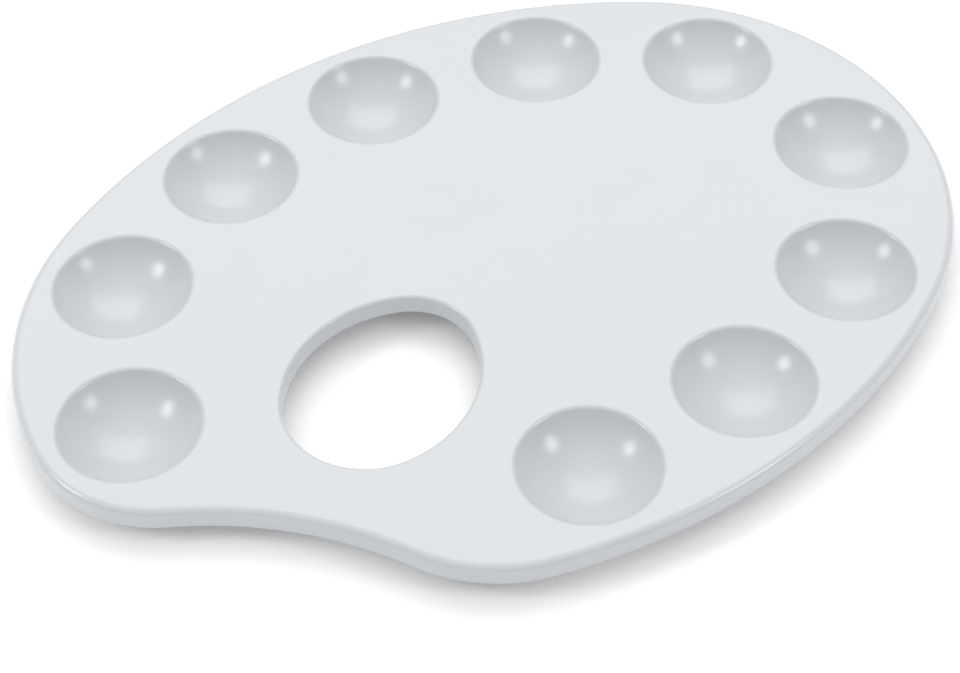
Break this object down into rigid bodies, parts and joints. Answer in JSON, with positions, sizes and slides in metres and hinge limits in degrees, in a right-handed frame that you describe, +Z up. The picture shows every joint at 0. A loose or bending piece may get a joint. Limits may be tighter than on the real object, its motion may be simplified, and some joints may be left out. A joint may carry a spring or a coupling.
{
  "type": "mixing palette",
  "caption": "Oval artist's mixing palette with round paint dishes along its edge, an egg-shaped thumb hole and a shallow notch.",
  "frame": {"origin": "middle of the palette's bounding box in plan, on the surface that it stands on", "axes": "+X along the length, away from the notch and the thumb hole; +Y across the width, away from the thumb hole; +Z up, out of the dishes"},
  "size_m": [0.27, 0.2, 0.0126],
  "materials": {
    "palette_plastic": "glossy moulded plastic"
  },
  "bodies": {
    "root": {"palette": "palette_plastic"}
  },
  "joints": []
}
